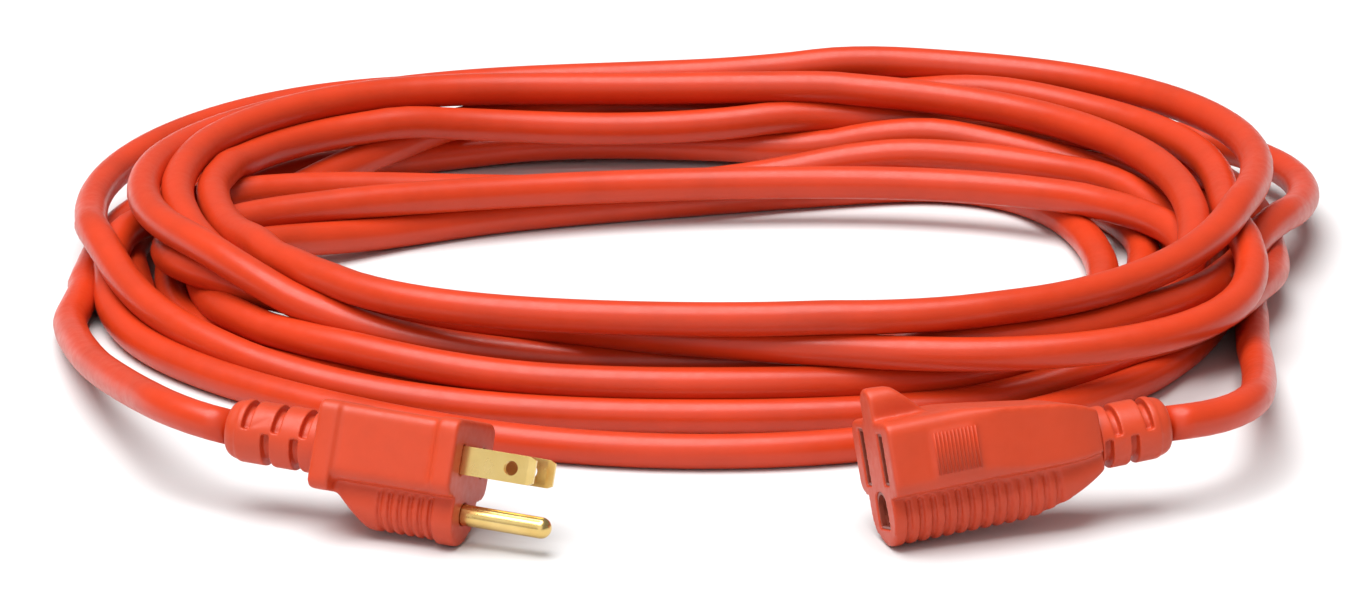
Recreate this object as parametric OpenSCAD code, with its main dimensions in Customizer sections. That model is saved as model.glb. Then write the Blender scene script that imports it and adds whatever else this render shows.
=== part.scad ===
// Grounded extension cord, 16/3, laid in an oval coil: moulded plug, moulded connector,
// three-wire cord. X runs along the coil, Y from the two ends at the front to the back, Z up.
// Each end is drawn along its own axis, nose towards +X, and then turned into place.

/* [Cord] */
// Outer diameter of the jacket
cord_d = 8; // [7.6:0.1:8.2]
// Outer diameter of one insulated wire
wire_d = 2.8; // [2.4:0.1:2.9]
// Diameter of one copper conductor
copper_d = 1.5; // [1.2:0.1:1.6]

/* [Coil] */
// Length of the oval coil over its outside
coil_length = 307; // [290:1:310]
// Depth of the oval coil over its outside
coil_depth = 247; // [235:1:255]
// Height of the pile of turns
coil_height = 32; // [28:1:34]
// Length of the opening inside the turns
opening_length = 216; // [200:1:230]
// Depth of the opening inside the turns
opening_depth = 107; // [95:1:115]
// How far the coil's middle lies behind the origin
coil_y = 27.5; // [24:0.5:30]

/* [Plug] */
// Width of the plug's face
plug_w = 25; // [24:0.5:27]
// Height of the plug above the line of the blades
plug_top = 9; // [8:0.5:10]
// Depth of the plug below the line of the blades
plug_bottom = 19.2; // [18.4:0.2:20]
// Length of the moulded body behind the face
plug_length = 33.5; // [33:0.5:35]
// Length of the plug's strain relief
plug_relief_l = 24; // [22:1:26]

/* [Connector] */
// Width of the connector body
conn_w = 26; // [25:0.5:28]
// Height of the connector above the line of the slots
conn_top = 8.4; // [8:0.2:9]
// Depth of the connector below the line of the slots
conn_bottom = 20; // [19:0.2:20.6]
// Length of the moulded body behind the face
conn_length = 51; // [50:0.5:54]
// Length of the connector's strain relief
conn_relief_l = 17.4; // [16.4:0.2:20]

/* [Contacts] */
// Thickness of a flat blade
blade_t = 1.5; // [1.4:0.05:1.6]
// Length of the blades outside the face
blade_l = 17.2; // [16:0.2:18.2]
// Diameter of the ground pin
pin_d = 4.76; // [4.7:0.02:4.84]
// Length of the ground pin outside the face
pin_l = 20.8; // [20:0.2:21.4]

/* [Hidden] */

orange = "#e8502f";
brass = "#d6b45a";
copper = "#b8693a";
black = "#26262a";
white = "#ece9df";
green = "#3f8f4a";
amber = "#d9d2bf";

gap = 0.1;                  // clearance round every piece that sits in a pocket
cut = 1;                    // how far a cutter runs past the face that it opens
arc = 64;                   // segments of a round that matters
joint_bulge = 0.06;         // how much fuller a wire is where it bends

// Where each end lies: the middle of its face, on the line of the blades, and its turn
plug_pos = [-47.6, -136.8, 18.31];
plug_turn = [-22, 2, -21];
conn_pos = [40.9, -138.2, 19.46];
conn_turn = [16.5, 4.7, 199.3];

// The contacts: one row of two flat ones, and the ground in the middle below them
blade_w = 6.35;
line_y = 6.35;
ground_z = -11.9;
plug_poles = [[-line_y, 0], [line_y, 0], [0, ground_z]];
conn_poles = [[line_y, 0], [-line_y, 0], [0, ground_z]];
line = 0;
neutral = 1;
ground = 2;

// Plug, back from the face
face_wall = 1.3;
flange_l = 5;
shoulder_l = 5;
plug_axis = -1.4;           // height of the cord's axis
carrier_back = 16;
plug_barrel_x = -23;        // open end of the crimp barrels
barrel_l = 6.8;
barrel_d = 3.4;
ground_barrel_d = 4.2;
plug_jacket_x = -31.2;      // where the jacket ends
relief_d = 14.6;
relief_core_d = 10.6;
slot_w = 1.9;

// Connector, back from the face
conn_axis = -5.4;
conn_carrier_back = 24;
conn_barrel_x = -31;
conn_jacket_x = -42;
leaf_t = 0.5;
sleeve_d = 6.4;
sleeve_bore = 4.9;
neutral_slot = 11.6;
line_slot = 10.4;
slot_gap = 2.3;

// Routes of the two free leads, from the strain relief down into the coil
plug_route = [
  [-102, -116.4, 19], [-106.2, -114.4, 19.4], [-110.9, -111.1, 19.7], [-115, -107, 19.8],
  [-118.3, -102.3, 19.5], [-120.7, -97.1, 18.8], [-123.9, -88.5, 17.2], [-127.4, -79, 15.6],
  [-130.8, -69, 13.9], [-134, -59, 12.2], [-136.9, -49, 10.7], [-139.5, -38, 9.1],
  [-142, -26, 7.4], [-144, -14, 5.7], [-145.4, -2, 4.4]];
conn_route = [
  [106.9, -116.7, 20], [111.7, -114.4, 19.8], [116.5, -111.1, 19.4], [120.5, -107.1, 19],
  [123.8, -102.4, 18.6], [126.3, -97.1, 18.1], [127.9, -91.4, 17.2], [129.1, -82, 15.3],
  [130, -72, 13.3], [130.7, -62, 11.3], [131.2, -52, 9.3], [131.6, -41, 7.3],
  [131.8, -31, 5.7], [131.8, -21, 4.4]];

// ---- functions -------------------------------------------------------------------------

function unit(v) = v / norm(v);
function heading(p, i) = unit(p[min(i + 1, len(p) - 1)] - p[max(i - 1, 0)]);
function ring(p, i, r, n) = let (
    f = heading(p, i), s = unit(cross(f, [0, 0, 1])), u = cross(s, f))
  [for (k = [0 : n - 1]) p[i] + r * (cos(k * 360 / n) * s + sin(k * 360 / n) * u)];
// Where pole k of three enters a jacket whose axis is at height z
function in_jacket(k, side, z) = k == ground ? [0.2, z - 1.75] : [sign(side) * 1.5, z + 0.9];

// ---- shared shapes ---------------------------------------------------------------------

// A tube swept along a list of points, with n sides
module tube(p, d, n = 12) {
  m = len(p);
  points = [for (i = [0 : m - 1]) each ring(p, i, d / 2, n)];
  sides = [for (i = [0 : m - 2], k = [0 : n - 1])
    [i * n + k, i * n + (k + 1) % n, (i + 1) * n + (k + 1) % n, (i + 1) * n + k]];
  first = [[for (k = [n - 1 : -1 : 0]) k]];
  last = [[for (k = [0 : n - 1]) (m - 1) * n + k]];
  polyhedron(points, concat(first, sides, last), convexity = 4);
}

module at_plug() {
  translate(plug_pos) rotate(plug_turn) children();
}

module at_connector() {
  translate(conn_pos) rotate(conn_turn) children();
}

// A flat outline in Y and Z, given thickness from x0 to x1
module slab(x0, x1) {
  translate([x0, 0, 0]) rotate([90, 0, 90]) linear_extrude(x1 - x0) children();
}

// A flat outline in X and Z, given width w about the middle
module side_cut(w) {
  translate([0, w / 2, 0]) rotate([90, 0, 0]) linear_extrude(w) children();
}

module rod(x0, x1, d, p = [0, 0]) {
  translate([x0, p[0], p[1]]) rotate([0, 90, 0]) cylinder(h = x1 - x0, d = d, $fn = arc);
}

module block(x0, x1, w, z0, z1, y = 0) {
  translate([x0, y - w / 2, z0]) cube([x1 - x0, w, z1 - z0]);
}

// Rectangle with round corners, w wide, from z0 up to z1
module round_box(w, z0, z1, r) {
  h = z1 - z0;
  translate([0, (z0 + z1) / 2]) {
    square([w - 2 * r, h], center = true);
    square([w, h - 2 * r], center = true);
    for (sy = [-1, 1], sz = [-1, 1])
      translate([sy * (w / 2 - r), sz * (h / 2 - r)]) circle(r, $fn = arc);
  }
}

// The lobe that hangs below the flat contacts and holds the ground
module lobe(bottom, r) {
  translate([0, r - bottom]) circle(r, $fn = arc);
  translate([-r, r - bottom]) square([2 * r, bottom - r - 6]);
}

// Grooves across a lobe: count of them, step apart, the first one starting at x0
module lobe_grooves(x0, count, step, width, bottom, r, depth) {
  for (i = [0 : count - 1])
    slab(x0 - i * step - width, x0 - i * step) difference() {
      translate([-r - cut, -bottom - cut]) square([2 * (r + cut), bottom - 9.5 + cut]);
      lobe(bottom - depth, r - depth);
    }
}

// One wire: straight back from x0 to x1, slanting to q at x2, and straight on to x3
module wire(x0, x1, x2, x3, p, q, d) {
  run = [[x0, p[0], p[1]], [x1, p[0], p[1]], [x2, q[0], q[1]], [x3, q[0], q[1]]];
  for (i = [0 : 2]) {
    v = run[i + 1] - run[i];
    translate(run[i]) rotate([0, acos(v[2] / norm(v)), atan2(v[1], v[0])])
      cylinder(h = norm(v), d = d, $fn = 32);
  }
  for (i = [1, 2]) translate(run[i]) sphere(d = d + joint_bulge, $fn = 32);
}

// Crimp barrel that opens to the back at x0
module barrel(x0, d, p) {
  difference() {
    rod(x0, x0 + barrel_l, d, p);
    rod(x0 - cut, x0 + barrel_l - 1.2, copper_d + 2 * gap, p);
  }
}

// Segmented sleeve from x0 to x1 with slots over the top and, between them, slots below
module relief(x0, x1, z, upper, lower) {
  nose = 3;
  difference() {
    union() {
      translate([x0, 0, z]) rotate([0, 90, 0])
        cylinder(h = nose, d1 = relief_d - 4, d2 = relief_d - 1, $fn = arc);
      rod(x0 + nose, x1, relief_d - 0.4, [0, z]);
    }
    rod(x0 - cut, x1 + cut, cord_d + 2 * gap, [0, z]);
    for (x = upper) relief_slot(x, z, 1);
    for (x = lower) relief_slot(x, z, -1);
  }
}

module relief_slot(x, z, side) {
  h = relief_d;
  difference() {
    block(x - slot_w / 2, x + slot_w / 2, 2 * h, z + (side - 1) / 2 * h + 0.3 * side,
          z + (side + 1) / 2 * h + 0.3 * side);
    rod(x - slot_w, x + slot_w, relief_core_d, [0, z]);
  }
}

// ---- cord ------------------------------------------------------------------------------

// Half of the coil's cross-section, from near the middle out to the bumps of the outer strands
module coil_side() {
  from = 20;
  out = (coil_depth - cord_d) / 2;
  rows = floor(coil_height / cord_d);
  step = (coil_height - cord_d) / (rows - 1);
  translate([from, 0]) square([out - from, coil_height]);
  for (k = [0 : rows - 1]) translate([out, cord_d / 2 + k * step]) circle(d = cord_d, $fn = arc);
}

module coil_opening() {
  r = opening_depth / 2;
  straight = opening_length - opening_depth;
  for (side = [-1, 1]) translate([side * straight / 2, 0, -cut])
    cylinder(h = coil_height + 2 * cut, r = r, $fn = 96);
  block(-straight / 2, straight / 2, opening_depth, -cut, coil_height + cut);
}

module cord_coil() {
  straight = coil_length - coil_depth;
  color(orange) translate([0, coil_y, 0]) difference() {
    union() {
      for (side = [-1, 1]) translate([side * straight / 2, 0, 0]) rotate([0, 0, -side * 90])
        rotate_extrude(angle = 180, $fn = 96) coil_side();
      slab(-straight / 2, straight / 2) {
        coil_side();
        mirror([1, 0]) coil_side();
      }
    }
    coil_opening();
  }
}

module cord_lead_plug() {
  color(orange) tube(plug_route, cord_d);
}

module cord_lead_connector() {
  color(orange) tube(conn_route, cord_d);
}

// ---- plug ------------------------------------------------------------------------------

module plug_body() {
  lobe_r = 7.2;
  waist_back = shoulder_l - plug_length;
  color(orange) at_plug() difference() {
    union() {
      slab(-flange_l, 0) {
        round_box(plug_w, -8.6, plug_top, 3);
        lobe(plug_bottom, lobe_r);
      }
      slab(waist_back, -flange_l) round_box(plug_w - 2.4, -8.6, plug_top - 0.6, 2.5);
      slab(-plug_length, waist_back) round_box(plug_w - 0.6, -11.6, plug_top - 0.4, 2.5);
      difference() {
        slab(waist_back, -flange_l) lobe(plug_bottom - 0.6, lobe_r - 0.4);
        translate([waist_back, 0, -11.2]) rotate([0, 45, 0]) block(-9, 22, 20, -20, 0);
        lobe_grooves(-flange_l, 6, 2.4, 1.1, plug_bottom - 0.6, lobe_r - 0.4, 0.7);
      }
    }
    carrier_shape(carrier_back + gap, face_wall - gap, gap);
    for (k = [line, neutral])
      block(-carrier_back - 1.4, cut, blade_t + 2 * gap, -blade_w / 2 - gap, blade_w / 2 + gap,
            plug_poles[k][0]);
    rod(-face_wall - cut, cut, pin_d + 2 * gap, plug_poles[ground]);
    plug_wire_room();
    rod(-plug_length - cut, plug_jacket_x + gap, cord_d + 2 * gap, [0, plug_axis]);
  }
}

// Room behind the carrier for the crimps, and for the wires on their way to the jacket
module plug_wire_room() {
  x = plug_barrel_x;
  for (k = [line, neutral, ground])
    rod(x - gap, -carrier_back + cut, (k == ground ? ground_barrel_d : barrel_d) + 2 * gap,
        plug_poles[k]);
  block(plug_jacket_x - gap, x, 16, -5, 1.8);
  side_cut(3.6) polygon([[x, -13.45], [x - 2.5, -13.45], [x - 7.4, -5], [x - 7.4, -4.8], [x, -4.8]]);
}

module carrier_shape(back, front, grow) {
  block(-back, -front, 19.6 + 2 * grow, -7.2 - grow, 4.8 + grow);
  block(-back, -front, 8 + 2 * grow, -15 - grow, -7 - grow);
}

module plug_blade_carrier() {
  color(amber) at_plug() difference() {
    carrier_shape(carrier_back, face_wall, 0);
    for (k = [line, neutral]) block(-carrier_back - cut, cut, blade_t + 2 * gap,
      -blade_w / 2 - gap, blade_w / 2 + gap, plug_poles[k][0]);
    rod(-carrier_back - cut, cut, pin_d + 2 * gap, plug_poles[ground]);
  }
}

// A flat blade: corners cut at the tip, edges bevelled, a round hole near the end
module blade(k) {
  y = plug_poles[k][0];
  h = blade_w / 2;
  t = blade_t / 2;
  back = plug_barrel_x + barrel_l;
  hole_x = blade_l - 5.5;
  color(brass) at_plug() {
    translate([0, y, 0]) difference() {
      intersection() {
        side_cut(blade_t) polygon([[back - 1, -h], [blade_l - 1.2, -h], [blade_l, 0.6 - h],
          [blade_l, h - 0.6], [blade_l - 1.2, h], [back - 1, h]]);
        translate([0, 0, -h]) linear_extrude(blade_w) polygon([[back - 1, -t],
          [blade_l - 1.6, -t], [blade_l, 0.3 - t], [blade_l, t - 0.3], [blade_l - 1.6, t],
          [back - 1, t]]);
      }
      translate([hole_x, cut + t, 0]) rotate([90, 0, 0])
        cylinder(h = blade_t + 2 * cut, d = 3.3, $fn = arc);
      rod(back - barrel_l, back, barrel_d - 0.4);
    }
    barrel(plug_barrel_x, barrel_d, plug_poles[k]);
  }
}

module plug_line_blade() {
  blade(line);
}

module plug_neutral_blade() {
  blade(neutral);
}

// The pin is a little thinner inside the carrier than outside the face
module plug_ground_pin() {
  p = plug_poles[ground];
  color(brass) at_plug() {
    rod(0, pin_l - pin_d / 2, pin_d, p);
    translate([pin_l - pin_d / 2, p[0], p[1]]) sphere(d = pin_d, $fn = arc);
    rod(plug_barrel_x + barrel_l - 1, 0, pin_d - 0.4, p);
    barrel(plug_barrel_x, ground_barrel_d, p);
  }
}

module plug_wire(k, d) {
  wire(plug_barrel_x - 0.8, plug_barrel_x - 1.6, -29.7, plug_jacket_x,
       plug_poles[k], in_jacket(k, plug_poles[k][0], plug_axis), d);
}

module plug_line_wire() {
  color(black) at_plug() plug_wire(line, wire_d);
}

module plug_neutral_wire() {
  color(white) at_plug() plug_wire(neutral, wire_d);
}

module plug_ground_wire() {
  color(green) at_plug() plug_wire(ground, wire_d);
}

// The bared end of one conductor, from the insulation into the crimp
module plug_copper(k) {
  color(copper) at_plug()
    rod(plug_barrel_x - gap, plug_barrel_x + barrel_l - 1.4, copper_d, plug_poles[k]);
}

module plug_line_copper() {
  plug_copper(line);
}

module plug_neutral_copper() {
  plug_copper(neutral);
}

module plug_ground_copper() {
  plug_copper(ground);
}

module plug_strain_relief() {
  x1 = -plug_length;
  color(orange) at_plug()
    relief(x1 - plug_relief_l, x1, plug_axis, [x1 - 18.4, x1 - 11.2, x1 - 4.4],
           [x1 - 13.4, x1 - 6.4]);
}

module plug_cord_end() {
  color(orange) at_plug()
    rod(-plug_length - plug_relief_l, plug_jacket_x, cord_d, [0, plug_axis]);
}

// ---- connector -------------------------------------------------------------------------

module connector_body() {
  r = 8;
  taper_x = -18;
  color(orange) at_connector() difference() {
    union() {
      difference() {
        slab(-conn_length, 0) {
          round_box(conn_w, -8.6, conn_top, 3);
          lobe(conn_bottom, r);
        }
        // the back half narrows to the strain relief: top, bottom and both sides
        translate([taper_x, 0, conn_top]) rotate([0, -8.3, 0]) block(-60, 0, 60, 0, 20);
        translate([taper_x - 14, 0, -conn_bottom]) rotate([0, 18, 0])
          block(-60, 0, 60, -30, 0);
        for (side = [-1, 1]) translate([taper_x - 6, side * conn_w / 2, 0])
          rotate([0, 0, side * 7]) translate([0, side * 15, 0]) block(-60, 0, 30, -40, 40);
        lobe_grooves(-3, 13, 2.95, 1.3, conn_bottom, r, 0.7);
      }
      connector_lug();
      connector_pads();
    }
    conn_carrier_shape(conn_carrier_back + gap, face_wall + 0.2 - gap, gap);
    for (k = [line, neutral])
      block(-face_wall - cut, cut, slot_gap, -slot_length(k) / 2, slot_length(k) / 2,
            conn_poles[k][0]);
    ground_opening(-face_wall - cut, cut);
    conn_wire_room();
    rod(-conn_length - cut, conn_jacket_x + gap, cord_d + 2 * gap, [0, conn_axis]);
  }
}

function slot_length(k) = k == line ? line_slot : neutral_slot;

// Round-topped ear over the face, sloping down behind
module connector_lug() {
  w = 7.4;
  top = 15.8;
  intersection() {
    slab(-14, 0) {
      translate([0, top - w / 2]) circle(d = w, $fn = arc);
      translate([-w / 2, 5]) square([w, top - w / 2 - 5]);
    }
    side_cut(w) polygon([[0, 5], [0, top], [-6, top - 0.5], [-13, conn_top], [-13, 5]]);
  }
}

// Finger pads on both sides: a thin raised square with fine upright ribs
module connector_pads() {
  ribs = 12;
  step = 0.88;
  block(-20.4, -9.8, conn_w + 0.6, -5.2, 4.6);
  for (i = [0 : ribs - 1])
    block(-20.4 + i * step, -20 + i * step, conn_w + 1.4, -5.2, 4.6);
}

// Arched opening for a round or U-shaped ground pin
module ground_opening(x0, x1) {
  slab(x0, x1) {
    translate([0, ground_z + 0.8]) circle(d = 6, $fn = arc);
    translate([-3, ground_z - 3.4]) square([6, 4.2]);
  }
}

// Room behind the carrier for the crimps, and for the wires on their way to the jacket
module conn_wire_room() {
  for (k = [line, neutral, ground])
    rod(conn_barrel_x - gap, -conn_carrier_back + cut,
        (k == ground ? ground_barrel_d : barrel_d) + 2 * gap, conn_poles[k]);
  block(conn_jacket_x - gap, conn_barrel_x, 16, -7.4, 1.8);
  block(conn_jacket_x - gap, conn_barrel_x, 4, -13.6, -7.2);
}

module conn_carrier_shape(back, front, grow) {
  block(-back, -front, 19.6 + 2 * grow, -6.6 - grow, 6.4 + grow);
  block(-back, -front, 9 + 2 * grow, -16 - grow, -6.4 - grow);
}

module connector_carrier() {
  back = conn_carrier_back;
  color(amber) at_connector() difference() {
    conn_carrier_shape(back, face_wall + 0.2, 0);
    for (k = [line, neutral]) {
      block(-19.4, 0, 3.8, -5.9, 5.9, conn_poles[k][0]);
      rod(-back - cut, -19, barrel_d + 2 * gap, conn_poles[k]);
    }
    rod(-20.4, 0, sleeve_d + 2 * gap, conn_poles[ground]);
    rod(-back - cut, -20, ground_barrel_d + 2 * gap, conn_poles[ground]);
  }
}

// Female contact for a blade: two leaves from a web, lips at the mouth, crimp behind
module leaf_contact(k) {
  p = conn_poles[k];
  h = 4;
  x0 = -19;
  barrel_x = conn_barrel_x;
  color(brass) at_connector() {
    for (side = [-1, 1]) {
      block(x0, -5, leaf_t, -h, h, p[0] + side * 1.15);
      block(-5, -2.4, leaf_t, -h, h, p[0] + side * 1.5);
      block(-5.5, -5, leaf_t + 0.4, -h, h, p[0] + side * 1.3);
    }
    block(x0, x0 + 0.6, 2.8, -h, h, p[0]);
    rod(barrel_x + barrel_l - 1.2, x0 + 0.3, barrel_d - 0.8, p);
    barrel(barrel_x, barrel_d, p);
  }
}

module connector_line_contact() {
  leaf_contact(line);
}

module connector_neutral_contact() {
  leaf_contact(neutral);
}

// Split sleeve for the ground pin, closed at the back, with its crimp behind
module connector_ground_contact() {
  p = conn_poles[ground];
  color(brass) at_connector() {
    difference() {
      rod(-20, -3, sleeve_d, p);
      rod(-19, 0, sleeve_bore, p);
      block(-14, 0, 1.2, ground_z - 5, ground_z);
    }
    rod(conn_barrel_x + barrel_l - 1.2, -19.5, ground_barrel_d - 0.8, p);
    barrel(conn_barrel_x, ground_barrel_d, p);
  }
}

module conn_wire(k, d) {
  wire(conn_barrel_x - 0.8, conn_barrel_x - 1.6, -40.5, conn_jacket_x,
       conn_poles[k], in_jacket(k, conn_poles[k][0], conn_axis), d);
}

module connector_line_wire() {
  color(black) at_connector() conn_wire(line, wire_d);
}

module connector_neutral_wire() {
  color(white) at_connector() conn_wire(neutral, wire_d);
}

module connector_ground_wire() {
  color(green) at_connector() conn_wire(ground, wire_d);
}

module conn_copper(k) {
  color(copper) at_connector()
    rod(conn_barrel_x - gap, conn_barrel_x + barrel_l - 1.4, copper_d, conn_poles[k]);
}

module connector_line_copper() {
  conn_copper(line);
}

module connector_neutral_copper() {
  conn_copper(neutral);
}

module connector_ground_copper() {
  conn_copper(ground);
}

module connector_strain_relief() {
  x1 = -conn_length;
  color(orange) at_connector()
    relief(x1 - conn_relief_l, x1, conn_axis, [x1 - 11.6, x1 - 4], [x1 - 7.8, x1 - 1.6]);
}

module connector_cord_end() {
  color(orange) at_connector()
    rod(-conn_length - conn_relief_l, conn_jacket_x, cord_d, [0, conn_axis]);
}

cord_coil();
cord_lead_plug();
cord_lead_connector();
plug_body();
plug_strain_relief();
plug_cord_end();
plug_blade_carrier();
plug_line_blade();
plug_neutral_blade();
plug_ground_pin();
plug_line_wire();
plug_neutral_wire();
plug_ground_wire();
plug_line_copper();
plug_neutral_copper();
plug_ground_copper();
connector_body();
connector_strain_relief();
connector_cord_end();
connector_carrier();
connector_line_contact();
connector_neutral_contact();
connector_ground_contact();
connector_line_wire();
connector_neutral_wire();
connector_ground_wire();
connector_line_copper();
connector_neutral_copper();
connector_ground_copper();
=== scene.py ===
"""Looks for an outdoor extension cord: one long jacketed cord wound into a loose pile, with a
moulded plug at one end and a moulded connector at the other. Lengths are millimetres until MM
turns them into metres."""
import math

import bmesh
import bpy
import numpy as np
from mathutils import Euler, Matrix, Vector


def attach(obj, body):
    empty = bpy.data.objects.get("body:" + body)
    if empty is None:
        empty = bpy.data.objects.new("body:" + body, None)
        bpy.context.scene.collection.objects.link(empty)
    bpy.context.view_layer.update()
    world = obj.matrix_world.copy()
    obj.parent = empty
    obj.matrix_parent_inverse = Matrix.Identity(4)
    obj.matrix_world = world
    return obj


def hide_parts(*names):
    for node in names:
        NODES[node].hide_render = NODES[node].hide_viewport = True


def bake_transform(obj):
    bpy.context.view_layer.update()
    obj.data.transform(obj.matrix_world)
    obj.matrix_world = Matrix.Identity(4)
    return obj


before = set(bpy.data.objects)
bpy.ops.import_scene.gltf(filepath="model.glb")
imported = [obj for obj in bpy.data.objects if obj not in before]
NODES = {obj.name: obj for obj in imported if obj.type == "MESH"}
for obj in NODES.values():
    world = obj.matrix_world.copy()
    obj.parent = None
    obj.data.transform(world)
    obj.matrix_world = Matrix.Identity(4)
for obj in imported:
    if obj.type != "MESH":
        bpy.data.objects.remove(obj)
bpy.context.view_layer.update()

MM = 0.001
CORD_D = 8.0

# Where each moulded end lies, as part.scad places it: the middle of its face, and its turn
PLUG_POS = (-47.6, -136.8, 18.31)
PLUG_TURN = (-22, 2, -21)
CONNECTOR_POS = (40.9, -138.2, 19.46)
CONNECTOR_TURN = (16.5, 4.7, 199.3)
PLUG_AXIS = -1.4                # height of the cord's axis in the plug
PLUG_JACKET = -31.2             # where the jacket ends inside the plug
PLUG_RELIEF_END = -57.5
CONNECTOR_AXIS = -5.4
CONNECTOR_JACKET = -42.0
CONNECTOR_RELIEF_END = -68.4
MOUTH = 0.6                     # how much wider all round the mouths are than the openings
SIDES = 20                      # sides of the cord's tube


def placed(pos, turn):
    """Matrix from an end's own millimetres to the frame's metres."""
    spin = Euler([math.radians(a) for a in turn], "XYZ").to_matrix().to_4x4()
    return Matrix.Scale(MM, 4) @ Matrix.Translation(pos) @ spin


PLUG = placed(PLUG_POS, PLUG_TURN)
CONNECTOR = placed(CONNECTOR_POS, CONNECTOR_TURN)


# ---- camera ----------------------------------------------------------------------------

def add_camera():
    data = bpy.data.cameras.new("camera")
    data.sensor_width = 36
    data.lens = 243.3
    data.clip_end = 50
    camera = bpy.data.objects.new("camera", data)
    bpy.context.scene.collection.objects.link(camera)
    aim = Vector((-1, 26, 0)) * MM
    elevation = math.radians(19)
    distance = 2.2              # metres
    away = Vector((0, -math.cos(elevation), math.sin(elevation))) * distance
    camera.location = aim + away
    camera.rotation_euler = (-away).to_track_quat("-Z", "Y").to_euler()
    bpy.context.scene.camera = camera


# ---- materials -------------------------------------------------------------------------

class Material:
    """A node material with a few helpers for procedural detail."""

    def __init__(self, name, roughness, **inputs):
        self.data = bpy.data.materials.new(name)
        self.data.use_nodes = True
        self.nodes = self.data.node_tree.nodes
        self.links = self.data.node_tree.links
        self.shader = self.nodes["Principled BSDF"]
        self.shader.inputs["Roughness"].default_value = roughness
        for key, value in inputs.items():
            self.shader.inputs[key.replace("_", " ")].default_value = value

    def node(self, kind, links):
        """A new node, with these sources linked to its inputs."""
        node = self.nodes.new(kind)
        for key, source in links.items():
            self.links.new(source, node.inputs[key])
        return node

    def place(self, stretch=(1, 1, 1)):
        """Object coordinates in millimetres, stretched along each axis."""
        coords = self.node("ShaderNodeTexCoord", {})
        mapping = self.node("ShaderNodeMapping", {"Vector": coords.outputs["Object"]})
        mapping.inputs["Scale"].default_value = [s / MM for s in stretch]
        return mapping.outputs["Vector"]

    def noise(self, scale, detail=3.0, rough=0.5, stretch=(1, 1, 1)):
        """Noise with features about 1/scale millimetres across."""
        node = self.node("ShaderNodeTexNoise", {"Vector": self.place(stretch)})
        node.inputs["Scale"].default_value = scale
        node.inputs["Detail"].default_value = detail
        node.inputs["Roughness"].default_value = rough
        return node.outputs["Fac"]

    def ramp(self, source, *stops):
        """The source as a colour: each stop is a place from 0 to 1 and its colour."""
        node = self.node("ShaderNodeValToRGB", {"Fac": source})
        ramp = node.color_ramp
        while len(ramp.elements) < len(stops):
            ramp.elements.new(0.5)
        for element, (place, colour) in zip(ramp.elements, stops):
            element.position = place
            element.color = (*colour, 1)
        return node.outputs["Color"]

    def spread(self, source, low, high):
        """The source's middle range mapped to low..high."""
        node = self.node("ShaderNodeMapRange", {"Value": source})
        node.inputs["From Min"].default_value = 0.3
        node.inputs["From Max"].default_value = 0.7
        node.inputs["To Min"].default_value = low
        node.inputs["To Max"].default_value = high
        return node.outputs["Result"]

    def colour(self, source):
        self.links.new(source, self.shader.inputs["Base Color"])

    def roughness(self, source):
        self.links.new(source, self.shader.inputs["Roughness"])

    def bump(self, source, height, strength=1.0):
        """Bump of this height in millimetres; calls stack."""
        old = self.shader.inputs["Normal"].links
        node = self.node("ShaderNodeBump", {"Height": source})
        node.inputs["Strength"].default_value = strength
        node.inputs["Distance"].default_value = height * MM
        if old:
            self.links.new(old[0].from_socket, node.inputs["Normal"])
        self.links.new(node.outputs["Normal"], self.shader.inputs["Normal"])


def shades(base, dark, light):
    """Three tones of one colour, for a ramp."""
    return [tuple(min(1, c * f) for c in base) for f in (dark, 1, light)]


def jacket_material():
    """Thick outdoor jacket: semi-gloss orange-red vinyl with faint cloudiness and scuffs."""
    m = Material("cord_jacket", 0.36, Specular_IOR_Level=0.32, Coat_Weight=0.06,
                 Coat_Roughness=0.25, Subsurface_Weight=0.04, Subsurface_Scale=0.004)
    low, mid, high = shades((0.55, 0.040, 0.008), 0.9, 1.07)
    m.colour(m.ramp(m.noise(0.05, 4, 0.6), (0.3, low), (0.5, mid), (0.72, high)))
    m.roughness(m.spread(m.noise(0.35, 6, 0.65), 0.28, 0.44))
    m.bump(m.noise(0.16, 2, 0.4), 0.12, 0.35)
    m.bump(m.noise(3.0, 3, 0.6), 0.012, 0.5)
    return m.data


def moulded_material():
    """Moulded vinyl of the ends: a little pinker and duller than the jacket, fine spark finish."""
    m = Material("moulded_body", 0.42, Specular_IOR_Level=0.36, Subsurface_Weight=0.05,
                 Subsurface_Scale=0.004)
    low, mid, high = shades((0.53, 0.050, 0.014), 0.93, 1.05)
    m.colour(m.ramp(m.noise(0.09, 4, 0.6), (0.3, low), (0.5, mid), (0.72, high)))
    m.roughness(m.spread(m.noise(0.5, 5, 0.6), 0.34, 0.5))
    m.bump(m.noise(4.0, 2, 0.5), 0.02, 0.5)
    return m.data


def brass_material():
    """Stamped brass: satin, with fine draw lines along the blades and faint tarnish."""
    m = Material("brass", 0.26, Metallic=1.0)
    tone = m.noise(0.12, 2, 0.5)
    m.colour(m.ramp(tone, (0.25, (0.68, 0.46, 0.14)), (0.75, (0.80, 0.59, 0.24))))
    m.roughness(m.spread(m.noise(0.3, 2, 0.5), 0.22, 0.28))
    m.bump(m.noise(2.0, 2, 0.5, stretch=(0.1, 0.3, 1.6)), 0.001, 0.2)
    return m.data


def copper_material():
    m = Material("copper", 0.3, Metallic=1.0)
    m.colour(m.ramp(m.noise(0.8, 4), (0.3, (0.62, 0.24, 0.10)), (0.7, (0.90, 0.45, 0.24))))
    m.bump(m.noise(4.0, 2, 0.5, stretch=(0.2, 1, 1)), 0.03, 0.6)
    return m.data


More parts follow.
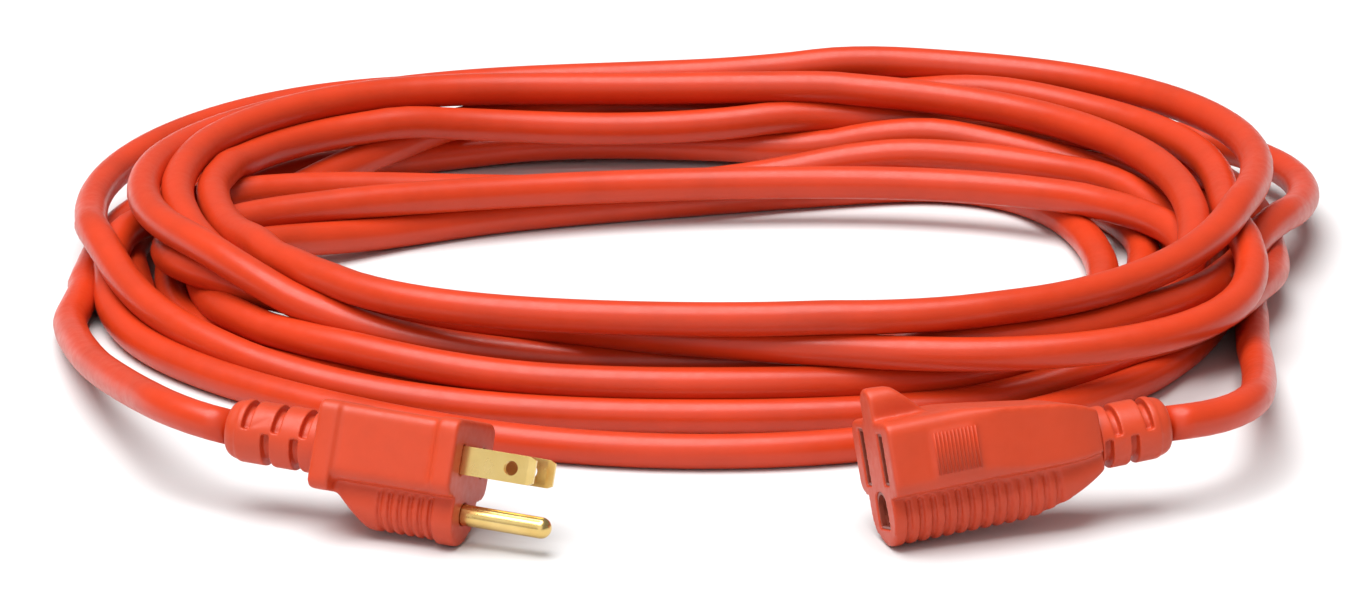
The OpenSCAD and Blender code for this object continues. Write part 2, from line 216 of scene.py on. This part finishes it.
def insulation_material(name, colour):
    m = Material(name, 0.4, Specular_IOR_Level=0.45)
    low, mid, high = shades(colour, 0.85, 1.1)
    m.colour(m.ramp(m.noise(0.3, 4), (0.3, low), (0.5, mid), (0.7, high)))
    m.bump(m.noise(3.0, 2), 0.015, 0.5)
    return m.data


def floor_material():
    m = Material("floor_paper", 0.85, Specular_IOR_Level=0.15)
    m.colour(m.ramp(m.noise(0.01, 3), (0.3, (0.68, 0.68, 0.68)), (0.7, (0.71, 0.71, 0.71))))
    m.bump(m.noise(1.0, 3), 0.02, 0.3)
    return m.data


# ---- the cord's route ------------------------------------------------------------------
# The two leads are part.scad's own points. Between them the cord is wound round an oval: a row
# of LAPS is one lap, and each pair is how far out of the oval the cord runs and how high it
# lies, at every 30 degrees from the left end, round the back, the right end and the front.
# The table isn't all chosen by hand: a fitting program moved 33 of its 127 "how far out" values,
# and the table that it began from was typed with another program's figures in view.

PLUG_LEAD = [
    (-102, -116.4, 19), (-106.2, -114.4, 19.4), (-110.9, -111.1, 19.7), (-115, -107, 19.8),
    (-118.3, -102.3, 19.5), (-120.7, -97.1, 18.8), (-123.9, -88.5, 17.2), (-127.4, -79, 15.6),
    (-130.8, -69, 13.9), (-134, -59, 12.2), (-136.9, -49, 10.7), (-139.5, -38, 9.1),
    (-142, -26, 7.4), (-144, -14, 5.7), (-145.4, -2, 4.4)]
CONNECTOR_LEAD = [
    (106.9, -116.7, 20), (111.7, -114.4, 19.8), (116.5, -111.1, 19.4), (120.5, -107.1, 19),
    (123.8, -102.4, 18.6), (126.3, -97.1, 18.1), (127.9, -91.4, 17.2), (129.1, -82, 15.3),
    (130, -72, 13.3), (130.7, -62, 11.3), (131.2, -52, 9.3), (131.6, -41, 7.3),
    (131.8, -31, 5.7), (131.8, -21, 4.4)]
LAPS = [
    [(25.5, 4), (38.5, 4), (50, 4), (54.5, 4), (61, 6.5), (65.5, 9),
     (21, 13), (23, 15.5), (36, 15.5), (18.5, 10.5), (20, 13), (9, 20.5)],
    [(17.5, 23), (25.5, 22), (43.5, 21), (46, 20.5), (60, 22), (42, 24),
     (20, 26), (22, 25.5), (35, 25), (30.5, 24.5), (21.5, 23.5), (2, 19)],
    [(-3, 19), (18, 17.5), (34, 15), (30.5, 11.5), (51, 12), (37, 11),
     (22, 9), (30, 13), (35.5, 4.5), (40.5, 4), (34.5, 5), (28, 9)],
    [(24, 12), (52, 12.5), (66, 14.5), (56, 13), (48, 17), (35, 19.5),
     (11, 18.5), (42.5, 18), (44, 17.5), (25, 17.5), (8, 16), (10, 15)],
    [(14, 14.5), (-12, 13), (-14.5, 11.5), (-6, 10.5), (-1, 11), (0.5, 11),
     (8, 11), (15, 6), (26, 4), (31, 4), (27, 4), (18.5, 4)],
    [(24.5, 4), (33.5, 4), (46, 4), (50, 4), (27, 4), (13, 4),
     (-8, 4), (0, 4), (7, 4), (14, 4), (16, 4), (18, 4)],
    [(8, 4), (24, 5), (43, 7), (40, 6), (33.5, 9.5), (24, 8.5),
     (12.5, 4), (24, 4), (50.5, 4), (66, 4), (46.5, 4), (30.5, 4)],
    [(27, 5), (13, 12), (3, 8), (9, 4), (18, 9.5), (14, 10),
     (5, 5), (11, 7), (15, 10.5), (13, 11), (5, 12), (5, 18.5)],
    [(7.5, 21.5), (23.5, 22), (42.5, 21.5), (41, 20), (39, 19.5), (18, 19),
     (5.5, 19), (19.5, 13), (31, 10.5), (37, 10.5), (27, 8), (13.5, 8)],
    [(2, 9), (-20, 7), (-11, 4), (-2.5, 4), (25, 4), (-8, 4),
     (-13, 4), (-9, 4), (0, 4), (6, 4), (10.5, 4), (7, 4)],
    [(2, 4), (12, 4), (34, 9), (56, 12), (48, 5), (37, 4),
     (20.5, 4)]]
OVAL_MIDDLE = (0, 31)
OVAL_HALF = (112, 58)
OVAL_POWER = 2.4
STEP = 5.0                      # spacing of the route's points
HELD = (30, 26)                 # points of each lead that stay as part.scad has them
FADE = 12                       # points over which the cord becomes free after them
ROUNDS = 300                    # rounds of settling
STIFFNESS = ((5, 0.12), (3, 0.3), (2, 0.6), (1, 0.9), (1, 0.9))
RETURN = 0.05                   # share of the way back to the plan in a round
SINK = 0.02                     # how far the cord sinks in a round


def oval(turn):
    """A point of the oval and its outward direction, as x, y, dx, dy."""
    c, s = math.cos(turn), math.sin(turn)
    x = OVAL_HALF[0] * math.copysign(abs(c) ** (2 / OVAL_POWER), c)
    y = OVAL_HALF[1] * math.copysign(abs(s) ** (2 / OVAL_POWER), s)
    dx = math.copysign(abs(x / OVAL_HALF[0]) ** (OVAL_POWER - 1), c) / OVAL_HALF[0]
    dy = math.copysign(abs(y / OVAL_HALF[1]) ** (OVAL_POWER - 1), s) / OVAL_HALF[1]
    size = math.hypot(dx, dy)
    return OVAL_MIDDLE[0] + x, OVAL_MIDDLE[1] + y, dx / size, dy / size


def through(points, per_span):
    """Catmull-Rom curve through the points."""
    p = np.asarray(points, float)
    ends = np.vstack([2 * p[0] - p[1], p, 2 * p[-1] - p[-2]])
    curve = []
    for a, b, c, d in zip(ends, ends[1:], ends[2:], ends[3:]):
        for t in np.arange(per_span) / per_span:
            curve.append(0.5 * (2 * b + (c - a) * t + (2 * a - 5 * b + 4 * c - d) * t ** 2
                                + (3 * b - a - 3 * c + d) * t ** 3))
    return np.array(curve + [p[-1]])


def spaced(points, step):
    """The same line with its points evenly spaced."""
    along = np.r_[0, np.cumsum(np.linalg.norm(np.diff(points, axis=0), axis=1))]
    places = np.linspace(0, along[-1], int(round(along[-1] / step)) + 1)
    return np.stack([np.interp(places, along, points[:, k]) for k in range(3)], 1)


def wound():
    """The cord as planned: lead, laps, lead, with the laps' steps softened."""
    per_span = 10
    lead_steps = 4
    plan = through([(360 * lap + 30 * k, out, up)
                    for lap, row in enumerate(LAPS) for k, (out, up) in enumerate(row)], per_span)
    reach = 12
    softness = 3
    weight = np.exp(-0.5 * (np.arange(-reach, reach + 1) / softness) ** 2)
    for column in (1, 2):
        padded = np.pad(plan[:, column], reach, mode="edge")
        plan[:, column] = np.convolve(padded, weight / weight.sum(), "valid")
    laps = []
    trim = 5
    for angle, out, up in plan[trim:-trim]:
        x, y, dx, dy = oval(math.radians(180 - angle))
        laps.append((x + out * dx, y + out * dy, up))
    line = np.vstack([through(PLUG_LEAD, lead_steps), laps,
                      through(CONNECTOR_LEAD[::-1], lead_steps)])
    return spaced(line, STEP)


def straighten(points, reach, share, free):
    """One step of the cord's stiffness, felt over this many points each way."""
    m = reach
    change = np.zeros_like(points)
    change[2 * m:-2 * m] = (4 * (points[m:-3 * m] + points[3 * m:-m]) - points[:-4 * m]
                            - points[4 * m:] - 6 * points[2 * m:-2 * m]) / 16
    points += share * change * free


def push_apart(points, first, second, free):
    """Moves each pair of touching points apart, half each and a little over."""
    extra = 1.3
    gap = points[first] - points[second]
    far = np.linalg.norm(gap, axis=1)
    hit = far < CORD_D
    if not hit.any():
        return
    push = gap[hit] * ((CORD_D - far[hit]) / 2 / np.maximum(far[hit], 1e-6))[:, None]
    moved = np.zeros_like(points)
    count = np.zeros(len(points))
    for index, sign in ((first[hit], 1), (second[hit], -1)):
        np.add.at(moved, index, sign * push)
        np.add.at(count, index, 1)
    points += extra * moved / np.maximum(count, 1)[:, None] * free


def settled_route():
    """The planned line, relaxed like a stiff cord whose laps rest on each other and the floor."""
    points = wound()
    plan = points.copy()
    count = len(points)
    order = np.arange(count)
    after_plug = np.clip((order - HELD[0]) / FADE, 0, 1)
    before_connector = np.clip((count - 1 - HELD[1] - order) / FADE, 0, 1)
    free = (after_plug * before_connector)[:, None]
    neighbours = 6                  # points so close along the cord that they can't touch
    near_by = 1.8 * CORD_D          # pairs further apart than this are left until the next look
    look_every = 5
    pairs = np.triu_indices(count, neighbours)
    for step in range(ROUNDS):
        for reach, share in STIFFNESS:
            straighten(points, reach, share, free)
        points += RETURN * (plan - points) * free
        points[:, 2] -= SINK * free[:, 0]
        if step % look_every == 0:
            near = ((points[pairs[0]] - points[pairs[1]]) ** 2).sum(1) < near_by ** 2
            first, second = pairs[0][near], pairs[1][near]
        for _ in range(2):
            push_apart(points, first, second, free)
            points[:, 2] = np.maximum(points[:, 2], CORD_D / 2)
    return points


# ---- mesh helpers ----------------------------------------------------------------------

def new_object(name, mesh, material):
    mesh.materials.clear()
    mesh.materials.append(material)
    obj = bpy.data.objects.new(name, mesh)
    bpy.context.scene.collection.objects.link(obj)
    return obj


def tube(name, points, radius, sides, material):
    """A closed, smooth tube along points in metres, with frames carried along without twist."""
    p = np.asarray(points, float)
    ahead = np.gradient(p, axis=0)
    ahead /= np.linalg.norm(ahead, axis=1)[:, None]
    side = np.cross(ahead[0], (0, 0, 1))
    verts, faces = [], []
    for i, (point, forward) in enumerate(zip(p, ahead)):
        side = side - forward * side.dot(forward)
        side /= np.linalg.norm(side)
        up = np.cross(side, forward)
        r = radius(i) if callable(radius) else radius
        for k in range(sides):
            a = 2 * math.pi * k / sides
            verts.append(point + r * (math.cos(a) * side + math.sin(a) * up))
    for i in range(len(p) - 1):
        for k in range(sides):
            a, b = i * sides + k, i * sides + (k + 1) % sides
            faces.append((a, b, b + sides, a + sides))
    faces.append(tuple(range(sides))[::-1])
    faces.append(tuple(range((len(p) - 1) * sides, len(p) * sides)))
    mesh = bpy.data.meshes.new(name)
    mesh.from_pydata([tuple(v) for v in verts], [], faces)
    mesh.polygons.foreach_set("use_smooth", [True] * len(faces))
    mesh.update()
    return new_object(name, mesh, material)


def evaluated(obj, name, material):
    """A new object holding obj's mesh with its modifiers applied; obj goes."""
    bpy.context.view_layer.update()
    graph = bpy.context.evaluated_depsgraph_get()
    mesh = bpy.data.meshes.new_from_object(obj.evaluated_get(graph))
    bpy.data.objects.remove(obj)
    mesh.name = name
    mesh.polygons.foreach_set("use_smooth", [True] * len(mesh.polygons))
    return new_object(name, mesh, material)


def prism(name, place, outline, depths, hollow=False):
    """A shape between copies of an outline: depths lists (x, growth) along the end's x.

    It is closed by two caps, or where it is hollow, by a wall from its last copy to its first.
    """
    shape = bmesh.new()
    rings = []
    for x, grow in depths:
        middle = np.mean(outline, axis=0)
        ring = []
        for y, z in outline:
            out = np.array((y, z)) - middle
            out += np.sign(out) * grow
            ring.append(shape.verts.new(place @ Vector((x, *(middle + out)))))
        rings.append(ring)
    walls = list(zip(rings, rings[1:]))
    if hollow:
        walls.append((rings[-1], rings[0]))
    else:
        shape.faces.new(rings[0][::-1])
        shape.faces.new(rings[-1])
    for near, far in walls:
        for k in range(len(near)):
            shape.faces.new((near[k - 1], near[k], far[k], far[k - 1]))
    bmesh.ops.recalc_face_normals(shape, faces=shape.faces)
    mesh = bpy.data.meshes.new(name)
    shape.to_mesh(mesh)
    shape.free()
    obj = bpy.data.objects.new(name, mesh)
    bpy.context.scene.collection.objects.link(obj)
    return obj


def in_place(points, place):
    """World points in metres as an end's own millimetres."""
    inverse = np.array(place.inverted())
    return points @ inverse[:3, :3].T + inverse[:3, 3]


def eased(obj, place, rounds, firmness, shape=None):
    """Rounds the skin's edges: firmness(x, y, z) is 0 where it stays crisp and 1 where it is soft."""
    mesh = obj.data
    count = len(mesh.vertices)
    points = np.empty(count * 3)
    mesh.vertices.foreach_get("co", points)
    points = in_place(points.reshape(-1, 3), place)
    edges = np.empty(len(mesh.edges) * 2, np.int64)
    mesh.edges.foreach_get("vertices", edges)
    first, second = edges.reshape(-1, 2).T
    degree = np.bincount(np.r_[first, second], minlength=count)
    soft = firmness(*points.T)[:, None]
    for _ in range(rounds):
        middle = np.stack([np.bincount(first, points[second, k], count)
                           + np.bincount(second, points[first, k], count) for k in range(3)], 1)
        points += 0.5 * soft * (middle / degree[:, None] - points)
    if shape:
        points = shape(points)
    matrix = np.array(place)
    mesh.vertices.foreach_set("co", (points @ matrix[:3, :3].T + matrix[:3, 3]).ravel())
    mesh.update()


def softened(node, name, material, voxel, cutters=()):
    """The CAD node's shape, less the cutters, as one fine skin."""
    work = bpy.data.objects.new("work", NODES[node].data.copy())
    bpy.context.scene.collection.objects.link(work)
    for cutter in cutters:
        cut = work.modifiers.new("cut", "BOOLEAN")
        cut.operation = "DIFFERENCE"
        cut.solver = "EXACT"
        cut.object = cutter
    remesh = work.modifiers.new("skin", "REMESH")
    remesh.mode = "VOXEL"
    remesh.voxel_size = voxel * MM
    smooth = work.modifiers.new("round", "SMOOTH")
    smooth.factor = 0.5
    smooth.iterations = 2
    obj = evaluated(work, name, material)
    for cutter in cutters:
        bpy.data.objects.remove(cutter)
    return obj


def bevelled(node, name, material, width):
    """The CAD node's own faces with small bevels on its edges."""
    work = bpy.data.objects.new("work", NODES[node].data.copy())
    bpy.context.scene.collection.objects.link(work)
    shape = bmesh.new()
    shape.from_mesh(work.data)
    bmesh.ops.remove_doubles(shape, verts=shape.verts, dist=1e-6)
    bmesh.ops.dissolve_limit(shape, angle_limit=math.radians(0.5), verts=shape.verts,
                             edges=shape.edges)
    shape.to_mesh(work.data)
    shape.free()
    bevel = work.modifiers.new("bevel", "BEVEL")
    bevel.width = width * MM
    bevel.segments = 3
    bevel.angle_limit = math.radians(25)
    bevel.use_clamp_overlap = True
    obj = evaluated(work, name, material)
    obj.data.polygons.foreach_set("use_smooth", [False] * len(obj.data.polygons))
    return obj


def stands_for(obj, body, slot, *nodes):
    """The object rides this body in place of these CAD nodes."""
    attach(obj, body)
    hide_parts(*nodes)
    return obj


# ---- the two ends ----------------------------------------------------------------------

def moulded_end(kind, place, axis, jacket, relief_end, cutters, firmness, shape=None):
    """Body, strain relief and the cord inside it, for one end."""
    body = softened(kind + "_body", kind + "_moulding", MOULDED, voxel=0.3,
                    cutters=cutters)
    eased(body, place, rounds=56, firmness=firmness, shape=shape)
    stands_for(body, kind, "moulded_body", kind + "_body")
    relief = softened(kind + "_strain_relief", kind + "_relief", MOULDED,
                      voxel=0.25)
    dome_l = 4
    dome_r, dome_rise = 4.6, 2.5
    chamfer_l = 3
    chamfer_r, chamfer_rise = 5.3, 1.8
    hole_r, wall = 4.2, 1.1         # the cord's hole, and the wall over which the change sets in

    def domed(points):
        """Rounds the relief's rear end, where the CAD node has a chamfer."""
        depth = np.clip((points[:, 0] - relief_end) / dome_l, 0, 1)
        rise = np.clip((points[:, 0] - relief_end) / chamfer_l, 0, 1)
        chamfer = chamfer_r + chamfer_rise * rise
        dome = dome_r + dome_rise * np.sqrt(1 - (1 - depth) ** 2)
        around = points[:, 1:] - (0, axis)
        outer = np.clip((np.hypot(*around.T) - hole_r) / wall, 0, 1)
        points[:, 1:] = (0, axis) + around * (1 + outer * (dome / chamfer - 1))[:, None]
        return points

    def relief_firmness(x, y, z):
        """Softer over the dome than along the grooves."""
        return np.where(x < relief_end + dome_l, 0.7, 0.2)

    eased(relief, place, rounds=16, firmness=relief_firmness, shape=domed)
    line = [place @ Vector((x, 0, axis)) for x in np.linspace(relief_end, jacket, 24)]
    inner = tube(kind + "_cord_end_jacket", line, CORD_D / 2 * MM, SIDES, JACKET)
    for piece, slot, node in ((relief, "moulded_body", kind + "_strain_relief"),
                              (inner, "cord_jacket", kind + "_cord_end")):
        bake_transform(piece)
        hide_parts(node)
    return [body, relief, inner]


def plug_firmness(x, y, z):
    """Soft all over but for the grip's grooves and the face's openings."""
    grip = (x > -20) & (x < -4) & (z < -9.5)
    inside = (np.abs(y) < 8.6) & (z < 5) & (z > -15.5) & (x > -17)
    return np.where(inside, 0.02, np.where(grip, 0.12, 0.6))


def connector_firmness(x, y, z):
    """The same for the connector, with its own grooves and openings."""
    grip = (x < -2.4) & (x > -42) & (z < -10)
    inside = (np.abs(y) < 9.6) & (z < 7) & (z > -17) & (x > -25)
    return np.where(inside, 0.02, np.where(grip, 0.12, 0.6))


def connector_shoulder(points):
    """Rounds the connector's back end down towards the strain relief."""
    start, reach, share = -40, -11, 0.62
    t = np.clip((points[:, 0] - start) / reach, 0, 1)
    pull = np.sqrt(1 - (share * t) ** 2)
    points[:, 1] *= pull
    points[:, 2] = CONNECTOR_AXIS + (points[:, 2] - CONNECTOR_AXIS) * pull
    return points


def mouth_outlines():
    """The connector's openings in its own Y and Z, by pole."""
    half_gap = 1.15
    outlines = {}
    for pole, y, height in (("line", 6.35, 10.4), ("neutral", -6.35, 11.6)):
        left, right, half = y - half_gap, y + half_gap, height / 2
        outlines[pole] = [(left, -half), (right, -half), (right, half), (left, half)]
    arch_r, arch_z, foot_z = 3, -11.1, -15.3
    arch = [(arch_r * math.cos(a), arch_z + arch_r * math.sin(a))
            for a in np.linspace(0, math.pi, 13)]
    outlines["ground"] = arch + [(-arch_r, foot_z), (arch_r, foot_z)]
    return outlines


def socket_mouths():
    """Cutters for the wide mouths at the connector's face, down to the carrier."""
    past_face, carrier_front = 1, -1.8
    return [prism("mouth", CONNECTOR, outline, ((past_face, MOUTH), (carrier_front, MOUTH)))
            for outline in mouth_outlines().values()]


def painted_shade_rims():
    """Rims in the carrier's colour in the mouths round each opening: painted shade for the shaded
    insides.
    """
    top, foot = -0.4, -1.48
    wide = MOUTH - 0.05             # clear of the mouth's wall
    rims = []
    for pole, outline in mouth_outlines().items():
        rim = prism("connector_carrier_%s_mouth" % pole, CONNECTOR, outline,
                    ((top, wide), (top, 0), (foot, 0), (foot, wide)), hollow=True)
        rim.data.materials.append(CARRIER_AND_SLOT_SHADE)
        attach(rim, "connector")
        rims.append(rim)
    return rims


def pad_ribs():
    """Fine upright ribs on the connector's two finger pads."""
    count, pitch = 12, 0.88
    rear, pad_y, middle_z = -20.05, 13.3, -0.35
    rib = (0.5, 1.3, 9.5)
    shape = bmesh.new()
    for side in (-1, 1):
        for i in range(count):
            spot = Vector((rear + pitch * i, side * pad_y, middle_z))
            block = bmesh.ops.create_cube(shape, size=1)["verts"]
            bmesh.ops.scale(shape, verts=block, vec=rib)
            bmesh.ops.translate(shape, verts=block, vec=spot)
    bmesh.ops.bevel(shape, geom=shape.edges[:], offset=0.16, segments=2, affect="EDGES")
    bmesh.ops.transform(shape, matrix=CONNECTOR, verts=shape.verts)
    mesh = bpy.data.meshes.new("connector_pad_ribs")
    shape.to_mesh(mesh)
    shape.free()
    mesh.polygons.foreach_set("use_smooth", [True] * len(mesh.polygons))
    ribs = new_object("connector_pad_ribs", mesh, MOULDED)
    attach(ribs, "connector")
    return ribs


# ---- the scene -------------------------------------------------------------------------

add_camera()
JACKET = jacket_material()
MOULDED = moulded_material()
BRASS = brass_material()
# Carriers' reddish brown, set to the openings' shaded insides; on the mouth rims it is painted shade.
CARRIER_AND_SLOT_SHADE = insulation_material("carrier_plastic", (0.24, 0.045, 0.026))

route = settled_route() * MM
cord = tube("cord", route, CORD_D / 2 * MM, SIDES, JACKET)
stands_for(cord, "cord", "cord_jacket", "cord_coil", "cord_lead_plug", "cord_lead_connector")

moulded_end("plug", PLUG, PLUG_AXIS, PLUG_JACKET, PLUG_RELIEF_END, (), plug_firmness)
connector_pieces = moulded_end("connector", CONNECTOR, CONNECTOR_AXIS, CONNECTOR_JACKET,
                               CONNECTOR_RELIEF_END, socket_mouths(),
                               connector_firmness, connector_shoulder)
connector_pieces.append(pad_ribs())
# dark rims in the connector's mouths: painted shade for the openings' insides
connector_pieces += painted_shade_rims()

for contact in ("plug_line_blade", "plug_neutral_blade"):
    stands_for(bevelled(contact, contact + "_brass", BRASS, width=0.12), "plug", "brass", contact)


def carried_over():
    """New materials for the CAD nodes that keep their own shape."""
    copper = copper_material()
    wires = {"line": insulation_material("wire_black", (0.02, 0.02, 0.022)),
             "neutral": insulation_material("wire_white", (0.82, 0.80, 0.74)),
             "ground": insulation_material("wire_green", (0.05, 0.30, 0.09))}
    looks = {"plug_blade_carrier": CARRIER_AND_SLOT_SHADE, "connector_carrier": CARRIER_AND_SLOT_SHADE, "plug_ground_pin": BRASS}
    for pole, wire in wires.items():
        looks["connector_%s_contact" % pole] = BRASS
        for kind in ("plug", "connector"):
            looks["%s_%s_wire" % (kind, pole)] = wire
            looks["%s_%s_copper" % (kind, pole)] = copper
    for name, material in looks.items():
        mesh = NODES[name].data
        for index in range(len(mesh.materials)):
            mesh.materials[index] = material
        if not mesh.materials:
            mesh.materials.append(material)


carried_over()


# ---- floor and light -------------------------------------------------------------------

def add_floor():
    mesh = bpy.data.meshes.new("floor")
    half = 6.0
    mesh.from_pydata([(-half, -half, 0), (half, -half, 0), (half, half, 0), (-half, half, 0)],
                     [], [(0, 1, 2, 3)])
    floor = new_object("floor", mesh, floor_material())


def add_softbox(name, towards, strength, spread):
    """A large far-off light that shines along towards, spread degrees wide."""
    data = bpy.data.lights.new(name, "SUN")
    data.energy = strength
    data.angle = math.radians(spread)
    light = bpy.data.objects.new(name, data)
    bpy.context.scene.collection.objects.link(light)
    light.rotation_euler = Vector(towards).to_track_quat("-Z", "Y").to_euler()


def add_world():
    bpy.context.scene.view_settings.view_transform = "Standard"
    world = bpy.data.worlds.new("studio")
    world.use_nodes = True
    world.node_tree.nodes["Background"].inputs["Color"].default_value = (1, 1, 1, 1)
    world.node_tree.nodes["Background"].inputs["Strength"].default_value = 0.25
    bpy.context.scene.world = world


add_floor()
add_world()
add_softbox("key", (0.2, 0.12, -1), 4.6, 55)
add_softbox("front", (0.25, 0.9, -0.5), 0.7, 60)
